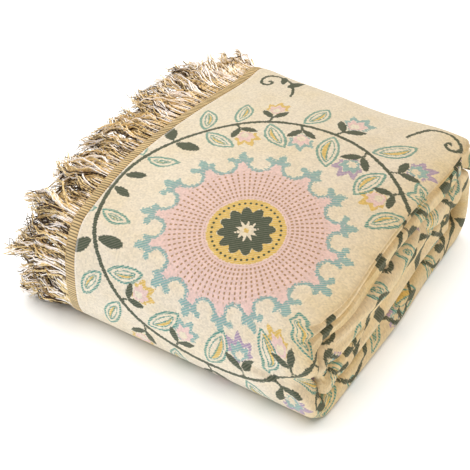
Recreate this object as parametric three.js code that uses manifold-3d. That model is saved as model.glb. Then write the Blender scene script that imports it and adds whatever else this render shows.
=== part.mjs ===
import * as THREE from 'three';
import { mergeVertices } from 'three/addons/utils/BufferGeometryUtils.js';
import Module from 'manifold-3d';

// A woven cotton throw with a fringed hem, folded into a thick soft pack.
// The cloth is folded along X into a flat strip of seven layers, and the strip is
// rolled flat along Y into four levels. X runs from the fringed hem to the rolled
// edges, Y from the rounded front to the back and Z up, in millimetres.

// The cloth, and the strip that it is folded into
const SHEET_THICKNESS = 2.4;
const LAYER_PITCH = 4;
const LAYER_COUNT = 7;
const STRIP_WIDTH = 258;
const HEM_LAP = 3; // the hem reaches this far past the strip's left turns
const LAST_LAYER_SHORT = 40; // the innermost layer stops this far from the right turns
const OUTER_LAYER_SPANS = 6;
const INNER_LAYER_SPANS = 4;
const TURN_STEPS_PER_MM = 0.5;
const FEWEST_TURN_STEPS = 3;

// The levels that the strip is rolled into, before the pack settles
const LEVEL_PITCH = 29.5;
const PACK_LENGTH = 332;
const FRONT_TURN_Y = 32;
const BACK_TURN_Y = 304;
const TOP_DRAPE_DEGREES = 42; // how far the top level bends down over the back wrap
const HIDDEN_END_Y = 288;

// How the pack settles: the wraps flatten and the top is crowned
const FRONT_BULGE = 32;
const BACK_BULGE = 30;
const CROWN = 33;
const CROWN_SHARE_AT_HEM = 0.6;
const CROWN_SHARE_AT_ROLLS = 0.46;

// Uneven edges: each row pushes one side along X around a height and a place along Y,
// and the push fades out over a share of the strip's width
const SHIFT_FADE = 0.4;
const EDGE_SHIFTS = [
  { side: 'rolls', shift: -26, height: 58, heightSpread: 17, along: -2, alongSpread: 11 },
  { side: 'rolls', shift: -6, height: 8, heightSpread: 16, along: 4, alongSpread: 22 },
  { side: 'rolls', shift: 5, height: 74, heightSpread: 12, along: 130, alongSpread: 70 },
  { side: 'rolls', shift: -7, height: 44, heightSpread: 11, along: 215, alongSpread: 60 },
  { side: 'rolls', shift: 5, height: 74, heightSpread: 12, along: 290, alongSpread: 40 },
  { side: 'rolls', shift: 3, height: 14, heightSpread: 14, along: 170, alongSpread: 60 },
  { side: 'rolls', shift: -8, height: 80, heightSpread: 60, along: 345, alongSpread: 55 },
  { side: 'rolls', shift: -7, height: 106, heightSpread: 13, along: 150, alongSpread: 110 },
  { side: 'rolls', shift: -14, height: 94, heightSpread: 22, along: 352, alongSpread: 26 },
  { side: 'rolls', shift: -11, height: 100, heightSpread: 24, along: 18, alongSpread: 26 },
  { side: 'hem', shift: -4, height: 112, heightSpread: 40, along: 100, alongSpread: 60 },
  { side: 'hem', shift: 4, height: 60, heightSpread: 40, along: 0, alongSpread: 30 },
  { side: 'hem', shift: 14, height: 112, heightSpread: 45, along: 310, alongSpread: 115 },
];

// The fringe: a woven heading strip beside the hem, and the locks that hang from it
const HEADING_GAP = 0.3;
const HEADING_WIDTH = 10;
const HEADING_THICKNESS = 2;
const LOCK_PITCH = 7.4;
const LOCK_RADIUS = 1.5;
const LOCK_ROOT_SHARE = 0.55; // a lock is slimmest where it leaves the heading
const LOCK_TIP_SHARE = 0.6;
const LOCK_ROOT_DEPTH = 2;
const LOCK_LENGTH = 60;
const LOCK_LENGTH_SPREAD = 6;
const LENGTH_WAVE = 1.7; // radians from one lock to the next
const LOCK_SWAY = 3;
const SWAY_WAVE = 0.8; // radians from one lock to the next
const LOCK_FAN = 17; // sideways reach of the tips at the back end
const FRONT_FAN_SHARE = 0.25; // share of that reach at the front end
const LOCK_SPANS = 3;
const LOCK_SIDES = 3;
const END_MARGIN = 4;

// How far a lock's tip falls below the hem, by the hem's height over the floor
const LOCK_FALLS = [
  { hemHeight: 1, fall: 0 },
  { hemHeight: 30, fall: 2 },
  { hemHeight: 60, fall: 5 },
  { hemHeight: 95, fall: 14 },
  { hemHeight: 140, fall: 19 },
];
const BACK_FALL_SHARE = 0.2; // the top level's locks fall less towards the back
const BACK_FALL_START = 0.2; // share of the pack's length
const TOP_FALL_START = 0.8; // share of the pack's height

// Finishes
const CREAM_COTTON = 0xeedfbc;
const FRINGE_COTTON = 0xb79c6a;
const COTTON_ROUGHNESS = 0.92;

const OUTER_RISE = LAYER_PITCH * (LAYER_COUNT - 1) / 2;
const STRIP_HALF = OUTER_RISE + SHEET_THICKNESS / 2;
const RIGHT_TURN_X = STRIP_WIDTH - STRIP_HALF;
const LEFT_TURN_X = HEM_LAP + OUTER_RISE - LAYER_PITCH / 2 + SHEET_THICKNESS / 2;
const LEVEL_COUNT = 4;
const TOP_LEVEL_Z = STRIP_HALF + (LEVEL_COUNT - 1) * LEVEL_PITCH;
const PACK_HEIGHT = TOP_LEVEL_Z + STRIP_HALF;
const TOP_DRAPE = TOP_DRAPE_DEGREES * Math.PI / 180;
const TOP_DRAPE_RADIUS = 2 * LEVEL_PITCH;
const OUTER_WRAP_RADIUS = 1.5 * LEVEL_PITCH;
const BACK_WRAP_RADIUS = LEVEL_PITCH;
const INNER_WRAP_RADIUS = 0.5 * LEVEL_PITCH;

// The route of the strip's middle through the pack, from the top level's back edge inwards
const ROUTE = [
  { radius: TOP_DRAPE_RADIUS, turn: TOP_DRAPE, steps: 3 },
  { run: BACK_TURN_Y - FRONT_TURN_Y, steps: 5 },
  { radius: OUTER_WRAP_RADIUS, turn: Math.PI, steps: 8 },
  { run: BACK_TURN_Y - FRONT_TURN_Y, steps: 4 },
  { radius: BACK_WRAP_RADIUS, turn: Math.PI, steps: 6 },
  { run: BACK_TURN_Y - FRONT_TURN_Y, steps: 5 },
  { radius: INNER_WRAP_RADIUS, turn: Math.PI, steps: 5 },
  { run: HIDDEN_END_Y - FRONT_TURN_Y, steps: 4 },
];

// Points of a path of straight runs and round turns, each with its heading.
// Every turn goes the same way round: +1 is anticlockwise, -1 is clockwise.
function tracePath(start, turnSign, legs) {
  const points = [start];
  let { u, v, heading } = start;
  for (const leg of legs) {
    const stepTurn = leg.radius ? turnSign * leg.turn / leg.steps : 0;
    const chord = leg.radius ? 2 * leg.radius * Math.sin(leg.turn / leg.steps / 2) : 0;
    const stepLength = leg.radius ? chord : leg.run / leg.steps;
    for (let step = 0; step < leg.steps; step += 1) {
      u += stepLength * Math.cos(heading + stepTurn / 2);
      v += stepLength * Math.sin(heading + stepTurn / 2);
      heading += stepTurn;
      points.push({ u, v, heading });
    }
  }
  return points;
}

// Middle line of the strip's section: layers from the hem inwards, joined by half turns.
// The layers' heights over the strip's middle are +3, -3, +2, -2, +1, -1 and 0 pitches.
function stripSection() {
  const legs = [];
  for (let layer = 0; layer < LAYER_COUNT; layer += 1) {
    const first = layer === 0;
    const last = layer === LAYER_COUNT - 1;
    const start = first ? 0 : LEFT_TURN_X;
    const end = last ? RIGHT_TURN_X - LAST_LAYER_SHORT : RIGHT_TURN_X;
    legs.push({ run: end - start, steps: first ? OUTER_LAYER_SPANS : INNER_LAYER_SPANS });
    const radius = OUTER_RISE - layer * LAYER_PITCH / 2;
    const steps = Math.max(FEWEST_TURN_STEPS, Math.round(radius * TURN_STEPS_PER_MM));
    if (!last) legs.push({ radius, turn: Math.PI, steps });
  }
  return tracePath({ u: 0, v: OUTER_RISE, heading: 0 }, -1, legs);
}

function bell(distance) {
  return Math.exp(-distance * distance);
}

// Moves a point of the neat roll to where it lies in the settled pack. The move is smooth
// and keeps the order of the layers, so they stay apart.
function settle(x, y, z) {
  let along = y;
  const frontReach = OUTER_WRAP_RADIUS + STRIP_HALF;
  const backReach = BACK_WRAP_RADIUS + STRIP_HALF;
  if (y < FRONT_TURN_Y) along = FRONT_TURN_Y + (y - FRONT_TURN_Y) * FRONT_BULGE / frontReach;
  if (y > BACK_TURN_Y) along = BACK_TURN_Y + (y - BACK_TURN_Y) * BACK_BULGE / backReach;
  const across = 2 * x / STRIP_WIDTH - 1;
  const lengthwise = 2 * along / PACK_LENGTH - 1;
  const edgeShare = across < 0 ? CROWN_SHARE_AT_HEM : CROWN_SHARE_AT_ROLLS;
  const crown = CROWN * (1 - (1 - edgeShare) * across ** 2) * (1 - lengthwise ** 2);
  const rollSide = THREE.MathUtils.smoothstep(x, STRIP_WIDTH * SHIFT_FADE, STRIP_WIDTH);
  const hemSide = 1 - THREE.MathUtils.smoothstep(x, 0, STRIP_WIDTH * SHIFT_FADE);
  let shift = 0;
  for (const row of EDGE_SHIFTS) {
    const share = row.side === 'rolls' ? rollSide : hemSide;
    const near = bell((z - row.height) / row.heightSpread) * bell((along - row.along) / row.alongSpread);
    shift += row.shift * share * near;
  }
  return new THREE.Vector3(x + shift, along, z * (1 + crown / PACK_HEIGHT));
}

// Stations of the route, each able to place a point of the strip's section in the pack
function packStations() {
  const outward = -Math.PI / 2;
  const start = {
    u: BACK_TURN_Y + TOP_DRAPE_RADIUS * Math.sin(TOP_DRAPE),
    v: TOP_LEVEL_Z - TOP_DRAPE_RADIUS * (1 - Math.cos(TOP_DRAPE)),
    heading: Math.PI - TOP_DRAPE,
  };
  return tracePath(start, 1, ROUTE).map((point) => ({
    place(x, rise) {
      const y = point.u + rise * Math.cos(point.heading + outward);
      const z = point.v + rise * Math.sin(point.heading + outward);
      return settle(x, y, z);
    },
  }));
}

// Closed body through rings of points that run anticlockwise as seen along the rings.
// Each patch between two rings is split along its shorter diagonal, so that the two faces
// of a sheet are split alike. capTriangles lists a ring's triangles, by its points' numbers.
function loft(rings, capTriangles) {
  const size = rings[0].length;
  const points = rings.flat();
  const positions = points.flatMap((point) => [point.x, point.y, point.z]);
  const indices = [];
  for (let ring = 0; ring + 1 < rings.length; ring += 1) {
    for (let side = 0; side < size; side += 1) {
      const a = ring * size + side;
      const b = ring * size + (side + 1) % size;
      const nextA = a + size;
      const nextB = b + size;
      const alongB = points[nextA].distanceTo(points[b]) < points[a].distanceTo(points[nextB]);
      if (alongB) indices.push(a, nextA, b, b, nextA, nextB);
      else indices.push(a, nextA, nextB, a, nextB, b);
    }
  }
  const lastRing = (rings.length - 1) * size;
  for (const [a, b, c] of capTriangles) {
    indices.push(a, b, c);
    indices.push(lastRing + a, lastRing + c, lastRing + b);
  }
  const geometry = new THREE.BufferGeometry();
  geometry.setAttribute('position', new THREE.Float32BufferAttribute(positions, 3));
  geometry.setIndex(indices);
  return geometry;
}

// Cap of a convex ring: a fan from its first point
function fanCap(size) {
  return Array.from({ length: size - 2 }, (_, i) => [0, i + 1, i + 2]);
}

// The folded cloth: the strip's section, as thick as the cloth, carried along the route
function blanketGeometry() {
  const middle = stripSection();
  const half = SHEET_THICKNESS / 2;
  const face = (side) => middle.map((point) => ({
    x: point.u - side * half * Math.sin(point.heading),
    rise: point.v + side * half * Math.cos(point.heading),
  }));
  const outline = [...face(1), ...face(-1).reverse()];
  const rings = packStations().map((station) => outline.map(({ x, rise }) => station.place(x, rise)));
  const last = outline.length - 1;
  const cap = [];
  for (let i = 0; i + 1 < middle.length; i += 1) {
    cap.push([i, i + 1, last - i], [i + 1, last - i - 1, last - i]);
  }
  return loft(rings, cap);
}

// The woven heading strip that carries the fringe, a hair's breadth from the hem
function headingGeometry(stations) {
  const inner = -HEADING_GAP;
  const outer = -HEADING_GAP - HEADING_WIDTH;
  const low = OUTER_RISE - HEADING_THICKNESS / 2;
  const high = OUTER_RISE + HEADING_THICKNESS / 2;
  const corners = [[outer, high], [inner, high], [inner, low], [outer, low]];
  const rings = stations.map((station) => corners.map(([x, rise]) => station.place(x, rise)));
  return loft(rings, fanCap(corners.length));
}

function tableValue(rows, key, value, at) {
  const next = rows.findIndex((row) => row[key] >= at);
  if (next <= 0) return next === 0 ? rows[0][value] : rows[rows.length - 1][value];
  const share = (at - rows[next - 1][key]) / (rows[next][key] - rows[next - 1][key]);
  return THREE.MathUtils.lerp(rows[next - 1][value], rows[next][value], share);
}

// One lock of fringe: a tapered three-sided yarn that leaves the heading level and falls
function lockGeometry(root, number) {
  const length = LOCK_LENGTH + LOCK_LENGTH_SPREAD * Math.sin(LENGTH_WAVE * number);
  const lengthwise = 2 * root.y / PACK_LENGTH - 1;
  const backShare = THREE.MathUtils.smoothstep(root.y, PACK_LENGTH * BACK_FALL_START, PACK_LENGTH);
  const onTop = THREE.MathUtils.smoothstep(root.z, PACK_HEIGHT * TOP_FALL_START, PACK_HEIGHT);
  const fallShare = THREE.MathUtils.lerp(1, BACK_FALL_SHARE, backShare * onTop);
  const fall = fallShare * tableValue(LOCK_FALLS, 'hemHeight', 'fall', root.z);
  const fan = LOCK_FAN * lengthwise * (lengthwise < 0 ? FRONT_FAN_SHARE : 1);
  const sway = fan + LOCK_SWAY * Math.sin(SWAY_WAVE * number);
  const lowest = LOCK_RADIUS / 2;
  const rings = [];
  let point = root.clone().add(new THREE.Vector3(LOCK_ROOT_DEPTH, 0, 0));
  for (let span = 0; span <= LOCK_SPANS; span += 1) {
    const share = span / LOCK_SPANS;
    const midSpan = Math.min(1, share + 0.5 / LOCK_SPANS);
    const dip = 2 * fall / length * midSpan;
    const fullness = span === 0 ? LOCK_ROOT_SHARE : THREE.MathUtils.lerp(1, LOCK_TIP_SHARE, share);
    const radius = LOCK_RADIUS * fullness;
    const ring = Array.from({ length: LOCK_SIDES }, (_, side) => {
      const turn = Math.PI / 2 + 2 * Math.PI * side / LOCK_SIDES;
      const reach = radius * Math.sin(turn);
      const aside = radius * Math.cos(turn);
      const offset = new THREE.Vector3(-reach * Math.sin(dip), aside, reach * Math.cos(dip));
      return point.clone().add(offset);
    });
    rings.push(ring);
    const stride = length / LOCK_SPANS;
    point = point.clone().add(new THREE.Vector3(
      -stride * Math.cos(dip),
      sway / LOCK_SPANS,
      -stride * Math.sin(dip),
    ));
    point.z = Math.max(point.z, lowest);
  }
  return loft(rings, fanCap(LOCK_SIDES));
}

// Roots of the locks: evenly along the heading's outer edge, through all the levels
function lockRoots(stations) {
  const edge = -HEADING_GAP - HEADING_WIDTH;
  const line = stations.map((station) => station.place(edge, OUTER_RISE));
  const lengths = [0];
  for (let i = 1; i < line.length; i += 1) lengths.push(lengths[i - 1] + line[i].distanceTo(line[i - 1]));
  const usable = lengths[lengths.length - 1] - 2 * END_MARGIN;
  const count = Math.floor(usable / LOCK_PITCH) + 1;
  return Array.from({ length: count }, (_, number) => {
    const at = END_MARGIN + usable * number / (count - 1);
    const next = Math.max(1, lengths.findIndex((length) => length >= at));
    const share = (at - lengths[next - 1]) / (lengths[next] - lengths[next - 1]);
    return line[next - 1].clone().lerp(line[next], share);
  });
}

const wasm = await Module();
wasm.setup();

function toSolid(geometry) {
  const merged = mergeVertices(geometry);
  return new wasm.Manifold(new wasm.Mesh({
    numProp: 3,
    vertProperties: new Float32Array(merged.getAttribute('position').array),
    triVerts: new Uint32Array(merged.getIndex().array),
  }));
}

function toGeometry(solid) {
  const mesh = solid.getMesh();
  const geometry = new THREE.BufferGeometry();
  geometry.setAttribute('position', new THREE.BufferAttribute(mesh.vertProperties, 3));
  geometry.setIndex(new THREE.BufferAttribute(mesh.triVerts, 1));
  return geometry;
}

// The fringe: the heading strip with every lock's root fused into it
function fringeGeometry() {
  const stations = packStations();
  let fringe = toSolid(headingGeometry(stations));
  lockRoots(stations).forEach((root, number) => {
    fringe = fringe.add(toSolid(lockGeometry(root, number)));
  });
  return toGeometry(fringe);
}

function clothMesh(name, geometry, color) {
  const material = new THREE.MeshStandardMaterial({ color, roughness: COTTON_ROUGHNESS, metalness: 0 });
  geometry.computeVertexNormals();
  const mesh = new THREE.Mesh(geometry, material);
  mesh.name = name;
  return mesh;
}

const folded = new THREE.Group();
folded.add(clothMesh('blanket', blanketGeometry(), CREAM_COTTON));
folded.add(clothMesh('fringe', fringeGeometry(), FRINGE_COTTON));

// The origin is at the middle of the pack's box, on the surface that it lies on
const box = new THREE.Box3().setFromObject(folded);
const middle = box.getCenter(new THREE.Vector3());
folded.position.set(-middle.x, -middle.y, -box.min.z);

const throwBlanket = new THREE.Group();
throwBlanket.add(folded);
export default throwBlanket;
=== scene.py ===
"""A folded cotton throw with a fringed hem: its woven sheet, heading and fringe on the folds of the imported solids."""

import math
from functools import partial

import bpy
import numpy as np
from bpy.props import FloatProperty, FloatVectorProperty, IntProperty, PointerProperty
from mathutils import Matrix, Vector


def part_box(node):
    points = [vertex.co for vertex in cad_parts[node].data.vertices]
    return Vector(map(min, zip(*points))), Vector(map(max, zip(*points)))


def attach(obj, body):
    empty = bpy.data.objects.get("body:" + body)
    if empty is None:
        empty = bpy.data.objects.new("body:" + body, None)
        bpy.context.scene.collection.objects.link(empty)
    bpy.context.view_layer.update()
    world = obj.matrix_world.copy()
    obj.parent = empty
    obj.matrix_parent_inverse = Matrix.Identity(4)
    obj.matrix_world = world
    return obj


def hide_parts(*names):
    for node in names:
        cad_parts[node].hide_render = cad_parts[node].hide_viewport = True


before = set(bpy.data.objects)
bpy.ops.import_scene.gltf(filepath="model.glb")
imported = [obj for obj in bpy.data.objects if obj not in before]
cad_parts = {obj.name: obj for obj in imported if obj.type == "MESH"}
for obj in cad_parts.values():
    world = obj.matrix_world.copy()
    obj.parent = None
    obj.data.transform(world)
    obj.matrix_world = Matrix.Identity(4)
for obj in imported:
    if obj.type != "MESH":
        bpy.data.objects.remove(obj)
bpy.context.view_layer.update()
BLANKET_LOW = np.array(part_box("blanket")[0])

bl_info = {
    "name": "Folded Cotton Throw",
    "version": (1, 0, 0),
    "blender": (4, 5, 0),
    "location": "View3D > Sidebar > Throw",
    "description": "Weaves a folded cotton throw, its heading and its fringe",
    "category": "Add Mesh",
}

MM = 0.001
FULL_TURN = 2 * math.pi
FRINGES = ("throw_fringe", "throw_fringe_below")
PIECES = ("throw_cloth", "throw_heading", *FRINGES)

# Layers of cloth in the rolled strip
LAYER_COUNT = 7

# Steps that measure the pack across and along, the route and the hem, and points along a strand
PACK_STEPS = (30, 900)
ROUTE_STEPS = 3000
HEM_STEPS = 4000
STRAND_POINTS = 14

# Where each face's creases begin, as a share of the pack's height, of the front turn and of the strip's width
TOP_BEGIN = 0.45
FRONT_BEGIN = 1.6
ROLLS_BEGIN = 0.62

# Length, in mm, over which the top level's squarer edge turns into the plain one
SQUARE_FADE = 40

# How far sunk layers draw back from the rolls, in mm, from which share of the width on, and by which share they close
# in on the strip's middle
SUNK_BACK = 9
SUNK_BEGIN = 0.6
SUNK_IN = 0.25

# A yarn's distance, in metres, where none of it is near
FAR_OFF = 0.02

# Turn, in degrees, from which an edge between two faces counts as sharp
SHARP_TURN = 70

# Least height of the heading and of the strands over the floor, in mm
FLOOR_GAP = 0.1

# Slow shifts of the folded layers, in mm: the side that moves, how far outwards, the height and place along the
# pack where it is greatest, and how far it spreads in each direction.
EDGE_SHIFTS = (
    # side, shift, height, height_spread, along, along_spread
    ("rolls", -26, 58, 17, -2, 11),
    ("rolls", -6, 8, 16, 4, 22),
    ("rolls", 5, 74, 12, 130, 70),
    ("rolls", -7, 44, 11, 215, 60),
    ("rolls", 5, 74, 12, 290, 40),
    ("rolls", 3, 14, 14, 170, 60),
    ("rolls", -8, 80, 60, 345, 55),
    ("rolls", -7, 106, 13, 150, 110),
    ("rolls", -14, 94, 22, 352, 26),
    ("rolls", -11, 100, 24, 18, 26),
    ("hem", -4, 112, 40, 100, 60),
    ("hem", 4, 60, 40, 0, 30),
    ("hem", 14, 112, 45, 310, 115),
)

# Short tucks: the cloth slips round the edge into them, so that its pattern isn't drawn in with the edge
TUCKS = tuple(row for row in EDGE_SHIFTS if row[-1] < 15)

# Main creases, in mm and degrees: the face that they are pressed into, the place of their middle on it, the way that
# they run, how long and wide they are, how deep, and how far their ends bow aside. A ridge has a depth below nothing.
# On the top the place is across and along the pack, on the front across and up, and on the rolls along and up.
CREASES = (
    # face, place_a, place_b, turn, length, width, depth, bow
    ("front", 232, 56, 174, 24, 4.5, 4.0, 0),
    ("front", 232, 66, 152, 26, 5, 3.4, 0),
    ("front", 234, 46, 200, 22, 5, 3.6, 0),
    ("front", 236, 36, 222, 20, 5, 3.0, 0),
    ("front", 216, 82, 136, 26, 8, 1.2, 0),
    ("front", 120, 40, 176, 60, 11, 1.2, 0),
    ("rolls", 165, 110, 0, 230, 1.6, 7.0, 0),
    ("rolls", 175, 103, 1, 180, 1.7, 8.0, 0),
    ("rolls", 70, 99, 176, 70, 2, 5.0, 0),
    ("rolls", 110, 92, 178, 80, 2.5, 3.5, 0),
    ("rolls", 4, 60, 0, 18, 7, 7.0, 0),
    ("rolls", 15, 55, 90, 13, 2.0, 4.0, -12),
    ("rolls", 20, 55, 90, 9, 2.0, 4.0, -9),
    ("rolls", 25, 55, 90, 6, 2.0, 3.6, -7),
    ("rolls", 324, 86, 0, 24, 7, -9, 0),
    ("rolls", 20, 40, 62, 24, 5, 4.0, 0),
    ("rolls", 38, 24, 44, 24, 5, 3.4, 0),
    ("rolls", 30, 70, 120, 24, 5, 3.4, 0),
    ("rolls", 96, 46, 6, 60, 4, 4.0, 0),
    ("rolls", 70, 74, 172, 44, 4, 3.6, 0),
    ("rolls", 150, 20, 172, 60, 4, 3.4, 0),
    ("rolls", 84, 14, 8, 40, 5, 2.4, 0),
    ("rolls", 250, 20, 0, 60, 18, 3.0, 0),
    ("rolls", 196, 76, 22, 30, 3.4, 4.2, 4),
    ("rolls", 226, 70, 150, 24, 3.2, 4.4, -4),
    ("rolls", 246, 56, 56, 22, 3.4, 4.6, 4),
    ("rolls", 268, 62, 72, 24, 3.6, 4.6, -5),
    ("rolls", 286, 52, 84, 20, 3.6, 4.2, -4),
    ("rolls", 300, 78, 82, 50, 6, 5.0, 0),
    ("rolls", 324, 60, 88, 50, 8, -3.0, 0),
    ("top", 52, 262, 62, 46, 13, 1.4, 0),
    ("top", 96, 284, 74, 40, 12, -1.0, 0),
    ("top", 34, 196, 70, 40, 12, 1.1, 0),
    ("top", 214, 96, 120, 60, 14, 1.0, 0),
    ("top", 196, 250, 100, 60, 16, 1.0, 0),
    ("top", 30, 96, 104, 44, 14, 1.0, 0),
    ("top", 150, 318, 4, 70, 10, 1.6, 0),
    ("top", 238, 326, 0, 60, 42, -9, 0),
    ("top", 130, 330, 0, 90, 30, -3, 0),
    ("top", 60, 322, 0, 60, 34, -4, 0),
    ("top", 0, 330, 0, 32, 34, -7, 0),
)

# Fall of the fringe's tips below its root, in mm, by the root's height
FALL_BY_HEIGHT = ((1, 0), (30, 2), (60, 5), (95, 14), (140, 19))

# Motifs round half of the wreath, from the rolls' side to the hem's: the turn round the wreath in degrees, what grows
# outside and inside of the vine, and each one's size. The other half mirrors it.
WREATH_ROWS = (
    # turn, outside, inside, size
    (22, "leaf", "dark_leaf", 1.0),
    (38, "bud_rose_gold", "leaf", 0.95),
    (50, "leaf", "bud_rose_gold", 1.0),
    (61, "bud_sky_lilac", "leaf", 1.05),
    (74, "leaf", "bud_sky_lilac", 1.1),
    (90, "bud_rose_sky", "leaf", 1.15),
    (104, "leaf", "bud_rose_sky", 1.0),
    (117, "bud_rose_gold", "leaf", 1.0),
    (130, "leaf", "bud_rose_gold", 0.95),
    (142, "leaf", "leaf", 0.9),
    (154, "dark_leaf", "dark_leaf", 1.0),
    (166, "leaf", "leaf", 0.75),
    (177, "dark_leaf", "dark_leaf", 0.75),
)

BUD_YARNS = {
    # name: heart, rim
    "bud_rose_gold": ("rose", "gold"),
    "bud_rose_sky": ("rose", "sky"),
    "bud_sky_lilac": ("sky", "lilac"),
}

# The yarns that the loom brings to the face over the cream ground, each over those before it, with how far their
# edges step in and out, in mm, and the share of ground that shows between their stitches
YARNS = {
    # name: edge_step, ground_share
    "rose": (0.4, 0.16),
    "sky": (1.0, 0.4),
    "gold": (0.6, 0.35),
    "lilac": (0.7, 0.42),
    "teal": (0.4, 0.5),
    "slate": (0.5, 0.1),
}

# Distances that the chart works out: of each yarn but teal, whose leaves have a distance and a place across instead
CHARTED = ("rose", "sky", "gold", "lilac", "slate", "leaf", "leaf_side")

# Lengths and widths of the leaves and of a bud's sepals, in mm, and the sepals' turn aside, in degrees
DARK_LEAF = (29, 12)
STITCHED_LEAF = (47, 20)
SEPAL = (21, 8)
SEPAL_TURN = 42

# A bud's cup: the distance of its middle from the stalk, and the base radius and rise of its rim, heart and eye, all
# in mm, and the turn from point to point, in radians
CUP_MIDDLE = 14
CUP_EDGES = ((6, 19), (5, 12), (2.5, 6))
POINT_TURN = 0.62

# Stalks: their width and their length under a bud and under a leaf, in mm, and their lean along the vine, in radians
STALK_WIDTH = 2.6
BUD_STALK = 9
LEAF_STALK = 3
STALK_LEAN = 0.35

# The side vine's width and swing, in mm
SIDE_VINE_WIDTH = 3.8
SIDE_SWING = 13

# Parts of the medallion's radius, in which its drawing is measured
MEDALLION_PARTS = 97

# Tones of the fringe's strands, from brown to pale, and the share of the strands that has each
STRAND_TONES = (0.08, 0.42, 0.86)
TONE_SHARES = (0.28, 0.4, 0.32)

# The dull shine that all cotton yarns share
COTTON = {"IOR": 1.5, "Specular IOR Level": 0.2}

# How far the floor reaches from the middle, in metres
FLOOR_REACH = 40.0

# Lights: their places and sizes in metres, their powers in watts, their tints, and the objects that each one lights.
# The sun's size is an angle, and its power is that on a square metre.
LIGHTS = (
    # name, place, kind, size, power, tint, lit
    ("key", (-1.15, 0.35, 1.95), "AREA", 0.8, 33, "FFFDF6", PIECES),
    ("front", (-1.2, -1.85, 0.2), "AREA", 1.0, 17, "D8E8FF", PIECES),
    ("side", (1.65, -0.75, 1.4), "AREA", 0.6, 10, "FFCE94", PIECES),
    ("fringe_fill", (0.3, 0.45, 0.7), "AREA", 0.4, 4, "ECF2FF", FRINGES),
    ("floor_light", (-0.4, 0.2, 2.0), "SUN", math.radians(80), 3.8, "FFFFFF", ("floor",)),
)

# The world's tint and strength
WORLD_TINT = "FFFCF6"
WORLD_STRENGTH = 0.42

# The camera's turn and rise in degrees, its distance in metres, its lens and sensor in mm, and the place in the pack
# that it looks at, in mm
CAMERA_TURN = 31.93
CAMERA_RISE = 41.36
CAMERA_DISTANCE = 1.2139
CAMERA_LENS = 96.06
CAMERA_SENSOR = 36
CAMERA_AIM = (91.57, 138.53, 60)


def linear(code):
    """Linear colour of an sRGB hex code."""
    parts = [int(code[i : i + 2], 16) / 255 for i in (0, 2, 4)]
    return tuple(part / 12.92 if part <= 0.04045 else ((part + 0.055) / 1.055) ** 2.4 for part in parts)


def length_property(name, description, millimetres):
    """A size in the panel, given here in mm."""
    return FloatProperty(name=name, description=description, default=millimetres * MM, unit="LENGTH", precision=4)


def share_property(name, description, default):
    """A share of one in the panel."""
    return FloatProperty(name=name, description=description, default=default, subtype="FACTOR", min=0, max=1)


def count_property(name, description, default, low):
    """A whole number in the panel."""
    return IntProperty(name=name, description=description, default=default, min=low)


def power_property(name, description, default):
    """A rounded corner's power in the panel."""
    return FloatProperty(name=name, description=description, default=default, min=2, max=8)


def place_property(name, description, across, along):
    """A place on the flat cloth in the panel, given here in mm from the hem and from the back edge."""
    place = (across * MM, along * MM)
    return FloatVectorProperty(name=name, description=description, default=place, size=2, unit="LENGTH", precision=4)


def colour_property(name, description, code):
    """A yarn's colour in the panel, given here as an sRGB hex code."""
    colour = linear(code)
    return FloatVectorProperty(name=name, description=description, default=colour, subtype="COLOR", min=0, max=1)


class ThrowPackSizes(bpy.types.PropertyGroup):
    """Sizes of the cloth and of its folds."""

    sheet_thickness: length_property("Sheet", "Thickness of the woven cotton", 2.4)
    layer_pitch: length_property("Layer pitch", "Distance between the layers of a rolled strip", 4)
    strip_width: length_property("Strip width", "Width of the rolled strip, from the hem to the rolls", 258)
    hem_lap: length_property("Hem lap", "Distance of the hidden rolls from the hem", 3)
    last_layer_short: length_property("Last layer", "Length by which the innermost layer stops short", 40)
    level_pitch: length_property("Level pitch", "Height of one level of the folded strip", 29.5)
    pack_length: length_property("Pack length", "Length of the folded pack", 332)
    front_turn: length_property("Front turn", "Where the levels begin to wrap round at the front", 32)
    back_turn: length_property("Back turn", "Where the levels begin to wrap round at the back", 304)
    hidden_end: length_property("Hidden end", "Where the innermost level ends", 288)
    front_bulge: length_property("Front bulge", "How far the front wrap stands out", 32)
    back_bulge: length_property("Back bulge", "How far the back wrap stands out", 30)
    crown: length_property("Crown", "Height of the soft dome over the pack", 33)
    crown_at_hem: share_property("Crown at hem", "Share of the dome's height at the hem", 0.6)
    crown_at_rolls: share_property("Crown at rolls", "Share of the dome's height at the rolls", 0.46)
    shift_fade: share_property("Shift fade", "Share of the width over which the edges' shifts fade in", 0.4)
    top_drape: FloatProperty(
        name="Top drape",
        description="Turn by which the top level droops over the back",
        default=math.radians(42),
        subtype="ANGLE",
    )
    squareness: power_property(
        "Squareness", "Power of the rounded corners of a folded edge, 2 for a plain round", 3.2
    )
    top_squareness: power_property(
        "Top squareness", "Power of the rounded corners of the top level's folded edge", 5.5
    )
    crease_strength: FloatProperty(name="Creases", description="Depth of all creases", default=1, min=0, max=2)


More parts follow.
